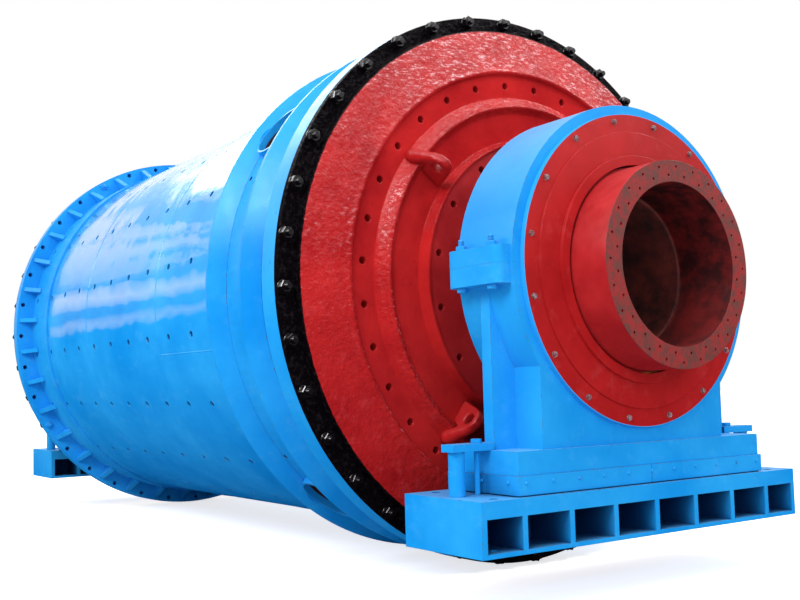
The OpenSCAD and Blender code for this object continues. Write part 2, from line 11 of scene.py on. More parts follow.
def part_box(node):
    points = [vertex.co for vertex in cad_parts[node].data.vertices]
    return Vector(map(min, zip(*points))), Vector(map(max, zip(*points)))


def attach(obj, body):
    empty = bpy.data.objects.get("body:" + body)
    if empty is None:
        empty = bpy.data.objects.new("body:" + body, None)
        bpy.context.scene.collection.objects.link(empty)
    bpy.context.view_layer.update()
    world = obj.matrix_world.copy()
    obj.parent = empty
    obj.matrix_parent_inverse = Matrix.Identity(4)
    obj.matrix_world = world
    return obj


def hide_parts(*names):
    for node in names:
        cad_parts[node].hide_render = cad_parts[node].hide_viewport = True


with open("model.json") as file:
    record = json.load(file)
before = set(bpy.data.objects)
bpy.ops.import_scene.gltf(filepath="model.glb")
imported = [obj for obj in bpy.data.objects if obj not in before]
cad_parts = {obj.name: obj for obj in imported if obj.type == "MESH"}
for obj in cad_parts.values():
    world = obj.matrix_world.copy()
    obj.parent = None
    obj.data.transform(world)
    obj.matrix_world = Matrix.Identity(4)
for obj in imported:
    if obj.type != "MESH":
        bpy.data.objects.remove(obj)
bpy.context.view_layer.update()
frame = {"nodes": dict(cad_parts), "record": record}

MM = 0.001
ENDS = ("discharge", "feed")


# ---- sizes and places, read from the frame ----

def mount(name):
    """A mount of the record."""
    return next(m for m in frame["record"]["mounts"] if m["name"] == name)


def corners(node):
    """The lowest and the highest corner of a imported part's box."""
    return [Vector(corner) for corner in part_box(node)]


def turned_r(node):
    """The outer radius of a round part on the mill axis."""
    low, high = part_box(node)
    return (high[2] - low[2]) / 2


MID_X, _, AXIS_Z = frame["record"]["behaviour"]["joints"][0]["pos_m"]
LUG = mount("discharge_lug_hole_1")["pos_m"]
DRUM_TURN = math.degrees(math.atan2(LUG[2] - AXIS_Z, -LUG[1])) - 45

JOINT_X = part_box("discharge_cover")[0][0]
GLAND_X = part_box("discharge_gland")[0][0]
END_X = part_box("discharge_trunnion")[1][0]
NECK_END_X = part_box("feed_neck_ring")[1][0]
COURSE_1_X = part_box("shell_middle_course")[0][0]
COURSE_2_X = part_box("shell_middle_course")[1][0]
END_FLANGE_R = turned_r("discharge_end_flange")
SHELL_R = turned_r("shell_middle_course")
DISC_R = turned_r("discharge_outer_disc")
BORE_R = mount("discharge_trunnion_bore")["dims"]["r_mm"] * MM

# What the frame doesn't state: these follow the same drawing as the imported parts.
JOINT_BOLTS = 36
JOINT_BOLT_R = END_FLANGE_R - 29 * MM
RIM_T = 36 * MM
COVER_FACE_R = JOINT_BOLT_R - 57 * MM
STUD_NUT_R = 24 * MM
STUD_NUT_H = 24 * MM
STUD_END = 30 * MM
# The cover's outline from its broad face inwards: radius and height over the joint, in mm.
BROAD_FACE = ((1419, 90), (1175, 154), (1158, 143), (1150, 143))
SECOND_CREST = ((1040, 143), (1030, 143), (975, 196), (940, 180), (928, 180))
# The radius of the bead on each crest, in mm.
BROAD_BEAD_R = 1171
SECOND_BEAD_R = 971
# The casting is rough outside the first radius and between the other two.
BROAD_ROUGH_R = 1170 * MM
SECOND_ROUGH_R = (940 * MM, 1020 * MM)


# ---- node helpers ----

# The heights of a direction between which the ground fades into the sky.
SKY_LOW = -0.1
SKY_HIGH = 0.45
# The strips of light in a hall: height of the direction, half width and strength.
HALL_STRIPS = ((0.04, 0.03, 0.3), (0.15, 0.045, 1.0))


class Shader:
    """A material's node tree, with short calls for the nodes used below."""

    def __init__(self, name):
        self.material = bpy.data.materials.new(name)
        self.material.use_nodes = True
        self.tree = self.material.node_tree
        self.bsdf = self.tree.nodes["Principled BSDF"]
        self.place = self.node("ShaderNodeTexCoord").outputs["Object"]
        self.x, self.y, self.z = self.node("ShaderNodeSeparateXYZ", {0: self.place}).outputs

    def node(self, kind, inputs=None, **settings):
        made = self.tree.nodes.new(kind)
        for key, value in settings.items():
            setattr(made, key, value)
        for key, value in (inputs or {}).items():
            self.set(made.inputs[key], value)
        return made

    def set(self, socket, value):
        if isinstance(value, bpy.types.NodeSocket):
            self.tree.links.new(value, socket)
        else:
            socket.default_value = value

    def math(self, operation, a, b=0.0):
        return self.node("ShaderNodeMath", {0: a, 1: b}, operation=operation).outputs[0]

    def add(self, a, b):
        return self.math("ADD", a, b)

    def mul(self, a, b):
        return self.math("MULTIPLY", a, b)

    def noise(self, scale, detail=3.0, roughness=0.5, stretch=(1, 1, 1), where=None):
        """A cloudy pattern, 0 to 1, in the object's own space unless another is given."""
        where = where or self.place
        if stretch != (1, 1, 1):
            where = self.node("ShaderNodeMapping", {"Vector": where, "Scale": stretch}).outputs[0]
        made = self.node("ShaderNodeTexNoise", {
            "Vector": where, "Scale": scale, "Detail": detail, "Roughness": roughness})
        return made.outputs[0]

    def ramp(self, value, low, high, to_low=0.0, to_high=1.0):
        made = self.node("ShaderNodeMapRange", {
            "Value": value, "From Min": low, "From Max": high,
            "To Min": to_low, "To Max": to_high}, clamp=True)
        return made.outputs[0]

    def mix(self, factor, a, b):
        made = self.node("ShaderNodeMix", data_type="RGBA")
        self.set(made.inputs["Factor"], factor)
        self.set(made.inputs[6], a)
        self.set(made.inputs[7], b)
        return made.outputs[2]

    def radius(self):
        """Distance from the mill axis."""
        height = self.add(self.z, -AXIS_Z)
        square = self.add(self.mul(self.y, self.y), self.mul(height, height))
        return self.math("SQRT", square)

    def facing(self):
        """The direction that the surface faces."""
        return self.node("ShaderNodeNewGeometry").outputs["Normal"]

    def rounded(self, radius):
        """The direction that the surface faces once its edges are rounded off."""
        return self.node("ShaderNodeBevel", {"Radius": radius}, samples=4).outputs[0]

    def edges(self, width):
        """1 on edges that stick out or lie in a corner, 0 on flat surfaces."""
        dot = self.node("ShaderNodeVectorMath", {0: self.rounded(width), 1: self.facing()},
                        operation="DOT_PRODUCT")
        return self.ramp(dot.outputs["Value"], 0.995, 0.9)

    def height_of(self, direction):
        return self.node("ShaderNodeSeparateXYZ", {0: direction}).outputs[2]

    def upward(self, low, high):
        """0 to 1 as a surface turns up to the sky."""
        return self.ramp(self.height_of(self.facing()), low, high)

    def mirrored(self, normal):
        """The direction that a surface with this normal mirrors to the viewer."""
        incoming = self.node("ShaderNodeNewGeometry").outputs["Incoming"]
        away = self.node("ShaderNodeVectorMath", {0: incoming, "Scale": -1.0}, operation="SCALE")
        made = self.node("ShaderNodeVectorMath", {0: away.outputs[0], 1: normal}, operation="REFLECT")
        return made.outputs[0]

    def shine(self, sky, low=SKY_LOW, high=SKY_HIGH, normal=None):
        """Specular level: the paint mirrors the bright sky, and nothing of the dull ground."""
        up = self.height_of(self.mirrored(normal or self.facing()))
        return self.mul(self.math("POWER", self.ramp(up, low, high), 2.0), sky)

    def hall_shine(self, normal):
        """Level of a gloss that mirrors strips of light and a patchy bright roof."""
        way = self.mirrored(normal)
        up = self.height_of(way)
        clouds = self.noise(4.5, stretch=(1, 1, 3), where=way)
        roof = self.mul(self.ramp(up, 0.2, 0.34), self.ramp(clouds, 0.46, 0.58, 0.04, 1.0))
        level = self.add(self.ramp(up, 0.0, 0.3, 0.0, 0.06), roof)
        for height, half_width, strength in HALL_STRIPS:
            off = self.math("ABSOLUTE", self.add(up, -height))
            level = self.add(level, self.ramp(off, half_width, 0.0, 0.0, strength))
        return self.math("MINIMUM", level, 1.0)

    def bump(self, height, strength, distance, normal):
        """A normal that tilts with a height pattern."""
        made = self.node("ShaderNodeBump", {
            "Height": height, "Strength": strength, "Distance": distance, "Normal": normal})
        return made.outputs[0]

    def finish(self, **sockets):
        for name, value in sockets.items():
            self.set(self.bsdf.inputs[name.replace("_", " ")], value)
        return self.material


def srgb(red, green, blue):
    """A colour given as it looks on a screen, 0 to 255."""
    def linear(value):
        value /= 255
        return value / 12.92 if value <= 0.04045 else ((value + 0.055) / 1.055) ** 2.4
    return linear(red), linear(green), linear(blue), 1.0


# ---- materials ----

BLUE = srgb(44, 164, 236)
BLUE_DEEP = srgb(20, 142, 222)
BLUE_PALE = srgb(92, 184, 238)
BLUE_SHADE = srgb(10, 40, 92)
BLUE_GLOSS_TINT = (0.72, 0.94, 1, 1)
# Pale tone of tops: settled dust and a painted sheen of the sky.
DUST_AND_SHEEN = srgb(136, 192, 222)
GRIME = srgb(52, 50, 52)
RUST = srgb(104, 58, 44)
INSIDE = srgb(72, 44, 38)
INSIDE_DEEP = srgb(34, 26, 26)

COVER_RED = srgb(192, 38, 38)
COVER_RED_DEEP = srgb(158, 24, 28)
COVER_RED_PALE = srgb(206, 70, 74)
# Colour of the painted glints on the cover.
COVER_GLINT = srgb(248, 206, 208)
COVER_PIT = srgb(84, 16, 18)
TAR = srgb(10, 7, 10)
TAR_WORN = srgb(36, 30, 34)

DISC_RED = srgb(184, 34, 36)
DISC_RED_DEEP = srgb(160, 26, 28)
DISC_RED_PALE = srgb(190, 80, 82)

TRUNNION_RED = srgb(190, 44, 46)
TRUNNION_RED_DEEP = srgb(160, 30, 34)
END_FACE = srgb(150, 50, 50)
END_FACE_DEEP = srgb(104, 62, 58)
END_FACE_PIT = srgb(64, 36, 34)
BORE = srgb(120, 34, 34)
BORE_DEEP = srgb(58, 26, 28)

SLEEVE = srgb(118, 48, 42)
SLEEVE_DEEP = srgb(54, 26, 26)
BRONZE = srgb(178, 132, 70)
BRONZE_DEEP = srgb(150, 106, 52)
NUT_BLACK = srgb(20, 16, 19)
NUT_BLACK_DEEP = srgb(8, 6, 8)
NUT_BRIGHT = srgb(150, 140, 148)
NUT_BRIGHT_DEEP = srgb(112, 60, 62)


def blue_paint(name, gloss, ripple, grain, sky=0.0, top_dust_and_sheen=0.0, bare_r=0.0, glossy=False, shaded=False):
    """Thick blue machine paint: soft patches, dusty speckle, dark chipped edges.

    Tops are paler, with settled dust and a painted sheen of the sky. Nearer to the mill axis
    than bare_r the steel is bare and dark. Glossy paint also has a clear coat that mirrors the
    lights of a hall. Shaded paint darkens where little light gets in.
    """
    s = Shader(name)
    patches = s.ramp(s.noise(1.7, 4.0, 0.6), 0.35, 0.7)
    colour = s.mix(patches, BLUE_DEEP, BLUE)
    dust = s.ramp(s.noise(9.0, 6.0, 0.7, (0.5, 1, 1)), 0.55, 0.8, 0.0, 0.3)
    colour = s.mix(dust, colour, BLUE_PALE)
    # Tops paler where the surface faces up: settled dust and a painted sheen of the sky.
    colour = s.mix(s.mul(s.upward(0.3, 1.0), top_dust_and_sheen), colour, DUST_AND_SHEEN)
    specks = s.ramp(s.noise(120.0, 2.0), 0.70, 0.78, 0.0, 0.35)
    colour = s.mix(specks, colour, GRIME)
    if shaded:
        openness = s.node("ShaderNodeAmbientOcclusion", {"Distance": 0.3}, samples=6).outputs["AO"]
        colour = s.mix(s.ramp(openness, 0.12, 0.62), BLUE_SHADE, colour)
    worn = s.mul(s.edges(6 * MM), s.ramp(s.noise(28.0, 4.0, 0.7), 0.52, 0.62))
    colour = s.mix(s.mul(worn, 0.7), colour, RUST)
    rough = s.add(s.ramp(s.noise(14.0, 4.0), 0.3, 0.7, gloss, gloss + 0.14), s.mul(worn, 0.3))
    waves = s.bump(s.noise(2.2, 2.0), ripple, 20 * MM, s.rounded(4 * MM))
    normal = s.bump(s.noise(260.0, 2.0), grain, 1 * MM, waves)
    if bare_r:
        inside = s.ramp(s.radius(), bare_r, bare_r - 4 * MM)
        bare = s.mix(s.ramp(s.noise(8.0, 5.0, 0.7), 0.4, 0.62), INSIDE_DEEP, INSIDE)
        colour = s.mix(inside, colour, bare)
    if glossy:
        level = s.hall_shine(waves)
        s.finish(Coat_Weight=level, Coat_Roughness=0.1, Coat_IOR=1.7, Coat_Normal=waves)
    else:
        level = s.shine(sky)
    return s.finish(Base_Color=colour, Roughness=rough, Normal=normal,
                    Specular_Tint=BLUE_GLOSS_TINT, Specular_IOR_Level=level)


def cover_paint():
    """Red paint over a rough casting with painted glints where its skin faces up, black on the bolted rim.
    """
    s = Shader("cover_paint")
    r = s.radius()
    inner_r, outer_r = SECOND_ROUGH_R
    fade = 10 * MM
    broad = s.ramp(r, BROAD_ROUGH_R - fade, BROAD_ROUGH_R + fade)
    crest = s.mul(s.ramp(r, inner_r - fade, inner_r + fade), s.ramp(r, outer_r + fade, outer_r - fade))
    rough_zone = s.math("MAXIMUM", broad, crest)
    patches = s.ramp(s.noise(2.6, 5.0, 0.6), 0.35, 0.68)
    colour = s.mix(patches, COVER_RED_DEEP, COVER_RED)
    pale = s.mul(s.ramp(s.noise(16.0, 7.0, 0.75), 0.53, 0.68), s.add(s.mul(rough_zone, 0.3), 0.04))
    colour = s.mix(pale, colour, COVER_RED_PALE)
    # Painted highlight: pale glints in broad patches on the rough casting where it faces up, standing in for
    # the sky mirrored in its skin.
    glint_patches = s.ramp(s.noise(2.4, 3.0, 0.5, (1, 0.6, 1)), 0.42, 0.58, 0.15, 1.0)
    lit = s.mul(s.mul(s.upward(0.04, 0.24), glint_patches), rough_zone)
    glints = s.mul(s.ramp(s.noise(62.0, 7.0, 0.85, (1, 0.3, 1)), 0.53, 0.6), lit)
    colour = s.mix(s.mul(glints, 0.85), colour, COVER_GLINT)
    pits = s.ramp(s.noise(60.0, 3.0, 0.6), 0.66, 0.74, 0.0, 0.55)
    colour = s.mix(pits, colour, COVER_PIT)
    ragged_r = s.add(r, s.mul(s.add(s.noise(30.0, 3.0), -0.5), 8 * MM))
    rim = s.ramp(ragged_r, COVER_FACE_R - 8 * MM, COVER_FACE_R - 5 * MM)
    tar = s.mix(s.ramp(s.noise(40.0, 4.0, 0.7), 0.5, 0.72), TAR, TAR_WORN)
    colour = s.mix(rim, colour, tar)
    rough = s.ramp(s.noise(20.0, 4.0), 0.3, 0.7, 0.16, 0.36)
    swells = s.bump(s.noise(9.0, 3.0), 0.35, 20 * MM, s.rounded(8 * MM))
    cast = s.mul(s.noise(38.0, 5.0, 0.65), s.add(s.mul(s.math("MAXIMUM", rough_zone, rim), 0.85), 0.15))
    coarse = s.bump(cast, 0.9, 11 * MM, swells)
    normal = s.bump(s.noise(190.0, 2.0), 0.2, 1 * MM, coarse)
    level = s.mul(s.shine(0.6, 0.4, 0.8, normal), s.ramp(rim, 0.0, 1.0, 1.0, 0.3))
    return s.finish(Base_Color=colour, Roughness=rough, Normal=normal, Specular_IOR_Level=level)


def red_paint(name, blue_side=False):
    """Smooth red paint of the seal discs, glands and lugs. A disc's side has the housing's blue."""
    s = Shader(name)
    patches = s.ramp(s.noise(3.0, 4.0, 0.6), 0.35, 0.7)
    colour = s.mix(patches, DISC_RED_DEEP, DISC_RED)
    dust = s.ramp(s.noise(11.0, 6.0, 0.7), 0.55, 0.78, 0.0, 0.35)
    colour = s.mix(dust, colour, DISC_RED_PALE)
    rough = s.ramp(s.noise(18.0, 4.0), 0.3, 0.7, 0.32, 0.5)
    waves = s.bump(s.noise(5.0, 3.0), 0.2, 10 * MM, s.rounded(3 * MM))
    normal = s.bump(s.noise(220.0, 2.0), 0.2, 1 * MM, waves)
    if blue_side:
        side = s.ramp(s.radius(), DISC_R - 4 * MM, DISC_R - 2 * MM)
        colour = s.mix(side, colour, BLUE)
    return s.finish(Base_Color=colour, Roughness=rough, Normal=normal, Specular_IOR_Level=s.shine(0.5))


def trunnion_metal():
    """Red paint outside, rust on the machined end face, a dark red and black bore."""
    s = Shader("trunnion_metal")
    patches = s.ramp(s.noise(4.0, 4.0, 0.6), 0.35, 0.7)
    paint = s.mix(patches, TRUNNION_RED_DEEP, TRUNNION_RED)
    blots = s.ramp(s.noise(24.0, 6.0, 0.7), 0.42, 0.6)
    bare = s.mix(blots, END_FACE_DEEP, END_FACE)
    bare = s.mix(s.ramp(s.noise(90.0, 3.0), 0.6, 0.7, 0.0, 0.6), bare, END_FACE_PIT)
    outward = s.math("ABSOLUTE", s.add(s.x, -MID_X))
    at_end = s.ramp(outward, END_X - MID_X - 4 * MM, END_X - MID_X - 1 * MM)
    colour = s.mix(at_end, paint, bare)
    inside = s.mul(s.ramp(s.radius(), BORE_R + 3 * MM, BORE_R + 1 * MM), s.math("SUBTRACT", 1.0, at_end))
    dark = s.mix(s.ramp(s.noise(6.0, 5.0, 0.7), 0.4, 0.62), BORE_DEEP, BORE)
    colour = s.mix(inside, colour, dark)
    rough = s.add(s.ramp(s.noise(16.0, 4.0), 0.3, 0.7, 0.3, 0.45), s.mul(at_end, 0.2))
    marks = s.bump(s.noise(46.0, 4.0, 0.6), 0.3, 2 * MM, s.rounded(4 * MM))
    normal = s.bump(s.noise(240.0, 2.0), 0.2, 1 * MM, marks)
    return s.finish(Base_Color=colour, Roughness=rough, Normal=normal, Specular_IOR_Level=s.shine(0.5))


def sleeve_metal():
    """Dark rusty steel of the sleeves in the bores."""
    s = Shader("sleeve_metal")
    colour = s.mix(s.ramp(s.noise(7.0, 6.0, 0.7), 0.38, 0.64), SLEEVE_DEEP, SLEEVE)
    normal = s.bump(s.noise(60.0, 5.0, 0.6), 0.4, 3 * MM, s.rounded(3 * MM))
    return s.finish(Base_Color=colour, Roughness=0.6, Normal=normal)


def bush_metal():
    """Bronze of the bushes, with marks that run round."""
    s = Shader("bush_metal")
    colour = s.mix(s.ramp(s.noise(12.0, 5.0), 0.4, 0.6), BRONZE_DEEP, BRONZE)
    normal = s.bump(s.noise(80.0, 3.0, 0.5, (6, 1, 1)), 0.2, 1 * MM, s.rounded(2 * MM))
    return s.finish(Base_Color=colour, Roughness=0.35, Metallic=1.0, Normal=normal)


def bolt_metal(name, pale, deep, metallic, roughness, sky):
    """Spotty metal of bolts and nuts, in two colours."""
    s = Shader(name)
    colour = s.mix(s.ramp(s.noise(70.0, 4.0, 0.7), 0.4, 0.65), deep, pale)
    normal = s.bump(s.noise(160.0, 3.0), 0.4, 1 * MM, s.rounded(2 * MM))
    return s.finish(Base_Color=colour, Roughness=roughness, Metallic=metallic, Normal=normal,
                    Specular_IOR_Level=s.shine(sky, normal=normal))


DRUM_PAINT = blue_paint("drum_paint", gloss=0.12, ripple=0.5, grain=0.08,
                        bare_r=SHELL_R - 8 * MM, glossy=True)
BAND_PAINT = blue_paint("band_paint", gloss=0.24, ripple=0.2, grain=0.15, sky=0.35,
                        bare_r=SHELL_R + 38 * MM)
FLANGE_PAINT = blue_paint("flange_paint", gloss=0.26, ripple=0.15, grain=0.2, sky=0.3)
BEARING_PAINT = blue_paint("bearing_paint", gloss=0.32, ripple=0.15, grain=0.25, sky=0.4,
                           top_dust_and_sheen=0.3, shaded=True)
CASTING_PAINT = blue_paint("casting_paint", gloss=0.34, ripple=0.35, grain=0.5, sky=0.4, top_dust_and_sheen=0.4)
PAINTED_STEEL = blue_paint("painted_steel", gloss=0.3, ripple=0.1, grain=0.3, sky=0.4)
COVER_PAINT = cover_paint()
DISC_PAINT = red_paint("disc_paint", blue_side=True)
LUG_PAINT = red_paint("lug_paint")
TRUNNION_METAL = trunnion_metal()
SLEEVE_METAL = sleeve_metal()
BUSH_METAL = bush_metal()
BLACK_STEEL = bolt_metal("black_steel", NUT_BLACK, NUT_BLACK_DEEP, metallic=0.0, roughness=0.2, sky=1.0)
BRIGHT_STEEL = bolt_metal("bright_steel", NUT_BRIGHT, NUT_BRIGHT_DEEP, metallic=0.5, roughness=0.34,
                          sky=0.6)

# By a node's own name, or by its name without the end of the mill.
MATERIALS = {
    "shell_feed_course": DRUM_PAINT, "shell_middle_course": DRUM_PAINT,
    "shell_discharge_course": DRUM_PAINT, "port_band": BAND_PAINT,
    "feed_flange": FLANGE_PAINT, "feed_neck_ring": FLANGE_PAINT, "feed_gussets": FLANGE_PAINT,
    "front_seal_ring": FLANGE_PAINT, "rear_seal_ring": FLANGE_PAINT,
    "discharge_end_flange": FLANGE_PAINT,
    "cover": COVER_PAINT, "lugs": LUG_PAINT, "trunnion": TRUNNION_METAL, "sleeve": SLEEVE_METAL,
    "bush": BUSH_METAL, "outer_disc": DISC_PAINT, "gland": DISC_PAINT,
    "inner_disc": BEARING_PAINT, "pedestal": CASTING_PAINT, "cap": CASTING_PAINT,
    "base": BEARING_PAINT, "sole_plate": BEARING_PAINT, "guard_strips": BEARING_PAINT,
    "studs": PAINTED_STEEL, "clamps": BEARING_PAINT, "posts": PAINTED_STEEL,
    "clamp_bolts": PAINTED_STEEL,
}


def paint_nodes():
    """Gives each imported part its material."""
    for name, obj in frame["nodes"].items():
        key = name if name in MATERIALS else name.split("_", 1)[1]
        obj.data.materials.clear()
        obj.data.materials.append(MATERIALS[key])


# ---- mesh helpers ----

def lathe(mesh, profile, segments, matrix):
    """Turns an outline of (radius, height) points about +Z. A radius of 0 closes the end."""
    rings = []
    for radius, height in profile:
        if radius == 0:
            rings.append([mesh.verts.new(matrix @ Vector((0, 0, height)))])
            continue
        rings.append([
            mesh.verts.new(matrix @ Vector((radius * math.cos(turn), radius * math.sin(turn), height)))
            for turn in (2 * math.pi * k / segments for k in range(segments))])
    for lower, upper in zip(rings, rings[1:]):
        for k in range(segments):
            n = (k + 1) % segments
            around = [lower[k % len(lower)], lower[n % len(lower)],
                      upper[n % len(upper)], upper[k % len(upper)]]
            around = list(dict.fromkeys(around))
            if len(around) > 2:
                mesh.faces.new(around)


def piece(name, mesh, body, material, smooth=35):
    """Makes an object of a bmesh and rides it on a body."""
    bmesh.ops.remove_doubles(mesh, verts=mesh.verts, dist=1e-6)
    bmesh.ops.recalc_face_normals(mesh, faces=mesh.faces)
    data = bpy.data.meshes.new(name)
    mesh.to_mesh(data)
    mesh.free()
    data.materials.append(material)
    obj = bpy.data.objects.new(name, data)
    bpy.context.scene.collection.objects.link(obj)
    data.shade_smooth()
    data.set_sharp_from_angle(angle=math.radians(smooth))
    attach(obj, body)
    return obj


def move_to_feed(mesh):
    """Mirrors parts of the discharge end in the middle of the drum."""
    for vert in mesh.verts:
        vert.co.x = 2 * MID_X - vert.co.x


def both_ends(name, mesh, body, material):
    """The same piece at each end of the mill, in the order of ENDS."""
    other = mesh.copy()
    move_to_feed(other)
    return [piece(end + "_" + name, shape, body, material)
            for end, shape in zip(ENDS, (mesh, other))]


def on_axis(radius, angle, x, spin=0.0):
    """Places +Z of a part along +X of the mill, at a radius and an angle from -Y towards +Z."""
    turn = math.radians(angle)
    spot = Vector((x, -radius * math.cos(turn), AXIS_Z + radius * math.sin(turn)))
    return Matrix.Translation(spot) @ Matrix.Rotation(math.pi / 2, 4, "Y") @ Matrix.Rotation(spin, 4, "Z")


def joint_bolt_angles():
    """Where the bolts of the cover joints lie round the drum, in degrees."""
    return [DRUM_TURN + 180 / JOINT_BOLTS + 360 * k / JOINT_BOLTS for k in range(JOINT_BOLTS)]


def nut(mesh, matrix, radius, height, bore, washer=0.0, washer_t=0.0, stud=0.0):
    """A hexagon nut, on a washer and with the rounded end of its stud where these have a size."""
    if washer:
        lathe(mesh, [(washer, 0), (washer, washer_t * 0.7), (washer * 0.96, washer_t),
                     (bore, washer_t)], 20, matrix)
    low, high = washer_t, washer_t + height
    chamfer = radius * 0.12
    lathe(mesh, [(radius - chamfer * 0.6, low), (radius, low + chamfer * 0.4), (radius, high - chamfer),
                 (radius - chamfer, high), (bore, high)], 6, matrix)
    if stud:
        lathe(mesh, [(bore, low), (bore, high + stud * 0.7), (bore * 0.85, high + stud),
                     (0, high + stud)], 16, matrix)


# ---- small parts on the drum ----

def cover_joint_bolts():
    """Black nuts all round the covers' rims. Each sits a little differently."""
    rng = random.Random(11)
    mesh = bmesh.new()
    for angle in joint_bolt_angles():
        spot = on_axis(JOINT_BOLT_R, angle + rng.uniform(-0.04, 0.04), JOINT_X + RIM_T,
                       rng.uniform(0, math.pi / 3))
        nut(mesh, spot, 34 * MM, 30 * MM, 17 * MM, washer=35 * MM, washer_t=6 * MM,
            stud=rng.uniform(18, 28) * MM)
    both_ends("cover_joint_bolts", mesh, "drum", BLACK_STEEL)


def skin_spots(outline, step):
    """Places about a step apart along an outline, each (radius, height, outward direction), in mm."""
    spots = []
    for (r0, h0), (r1, h1) in zip(outline, outline[1:]):
        across, up = r1 - r0, h1 - h0
        length = math.hypot(across, up)
        count = max(1, round(length / step))
        spots += [(r0 + across * k / count, h0 + up * k / count, up / length, -across / length)
                  for k in range(count)]
    spots.append((*outline[-1], spots[-1][2], spots[-1][3]))
    return spots


def cast_strip(mesh, outline, step, segments, bead_r, bead_h, rough):
    """A ring of uneven casting skin over an outline of (radius, height over the joint), in mm.

    A rounded bead of a given height swells the skin at its radius, and streaks run along the ring.
    The skin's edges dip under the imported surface.
    """
    bead_width = 13
    dip = 0.6
    spots = skin_spots(outline, step)
    last = len(spots) - 1
    rows = []
    for j, (r, h, out_r, out_h) in enumerate(spots):
        bead = bead_h * math.exp(-((r - bead_r) / bead_width) ** 2)
        edge = min(1, j / 2, (last - j) / 2)
        row = []
        for k in range(segments):
            turn = 2 * math.pi * k / segments
            y, z = -math.cos(turn), math.sin(turn)
            streak = noise.fractal((r / 14, 40 * y, 40 * z), 0.7, 2.0, 3)
            grain = noise.noise((r / 7, 130 * y, 130 * z))
            lift = edge * (rough * (1 + 0.6 * streak + 0.35 * grain) + bead * (1 + 0.2 * streak)) - dip
            away = (r + lift * out_r) * MM
            row.append(mesh.verts.new((JOINT_X + (h + lift * out_h) * MM, away * y, AXIS_Z + away * z)))
        rows.append(row)
    for inner, outer in zip(rows, rows[1:]):
        for k in range(segments):
            n = (k + 1) % segments
            mesh.faces.new((inner[k], inner[n], outer[n], outer[k]))


def casting_skin():
    """The rough skin of the covers' broad faces and second crests, coarser at the far end."""
    for end, segments in zip(ENDS, (1300, 480)):
        mesh = bmesh.new()
        cast_strip(mesh, BROAD_FACE, 8, segments, BROAD_BEAD_R, bead_h=7, rough=2.2)
        cast_strip(mesh, SECOND_CREST, 7, segments, SECOND_BEAD_R, bead_h=8, rough=1.6)
        if end == "feed":
            move_to_feed(mesh)
        piece(end + "_casting_skin", mesh, "drum", COVER_PAINT, 60)


def lifting_lugs():
    """The lugs as cast: rounded off, each with a tail that runs out over the second crest."""
    packed = frame["nodes"]["discharge_lugs"]
    mesh = bmesh.new()
    mesh.from_mesh(packed.data)
    mesh.transform(packed.matrix_world)
    clear_of_eye = 52 * MM
    head_r = math.hypot(LUG[1], LUG[2] - AXIS_Z) + clear_of_eye
    head_x = LUG[0] + 12 * MM
    foot_r = 1016 * MM
    foot_x = JOINT_X + 176 * MM
    for angle in (DRUM_TURN + 45 + 90 * k for k in range(4)):
        head = on_axis(head_r, angle, head_x).translation
        foot = on_axis(foot_r, angle, foot_x).translation
        capsule(mesh, head, foot, 26 * MM, 40 * MM)
    mesh = cast_blend(mesh, grain=6.5 * MM, rounds=7, rough=1.6 * MM)
    for obj, end in zip(both_ends("cast_lugs", mesh, "drum", LUG_PAINT), ENDS):
        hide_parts(end + "_lugs")


def capsule(mesh, start, end, start_r, end_r):
    """A tapered bar with round ends."""
    along = end - start
    length = along.length
    outline = [(0, -start_r), (start_r * 0.7, -start_r * 0.7), (start_r, 0),
               (end_r, length), (end_r * 0.7, length + end_r * 0.7), (0, length + end_r)]
    lathe(mesh, outline, 20, Matrix.Translation(start) @ along.to_track_quat("Z", "Y").to_matrix().to_4x4())


def cast_blend(mesh, grain, rounds, rough):
    """Melts solids that overlap into one cast lump with soft corners and an uneven skin."""
    data = bpy.data.meshes.new("lump")
    mesh.to_mesh(data)
    mesh.free()
    lump = bpy.data.objects.new("lump", data)
    bpy.context.scene.collection.objects.link(lump)
    remesh = lump.modifiers.new("remesh", "REMESH")
    remesh.mode = "VOXEL"
    remesh.voxel_size = grain
    melted = bmesh.new()
    melted.from_object(lump, bpy.context.evaluated_depsgraph_get())
    bpy.data.objects.remove(lump)
    bpy.data.meshes.remove(data)
    for _ in range(rounds):
        bmesh.ops.smooth_vert(melted, verts=melted.verts, factor=0.5,
                              use_axis_x=True, use_axis_y=True, use_axis_z=True)
    melted.normal_update()
    for vert in melted.verts:
        vert.co += vert.normal * rough * noise.fractal(vert.co * 42, 0.8, 2.0, 3)
    return melted


def feed_flange_nuts():
    """The few nuts that hold the feed flange while the other bolts are out."""
    mesh = bmesh.new()
    flange_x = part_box("feed_flange")[1][0]
    for angle in (57, 237, -31, 149):
        nearest = min(joint_bolt_angles(), key=lambda a: abs((a - angle + 180) % 360 - 180))
        nut(mesh, on_axis(JOINT_BOLT_R, nearest, flange_x), 27 * MM, 24 * MM, 15 * MM,
            washer=30 * MM, washer_t=5 * MM, stud=16 * MM)
    piece("feed_flange_nuts", mesh, "drum", PAINTED_STEEL)


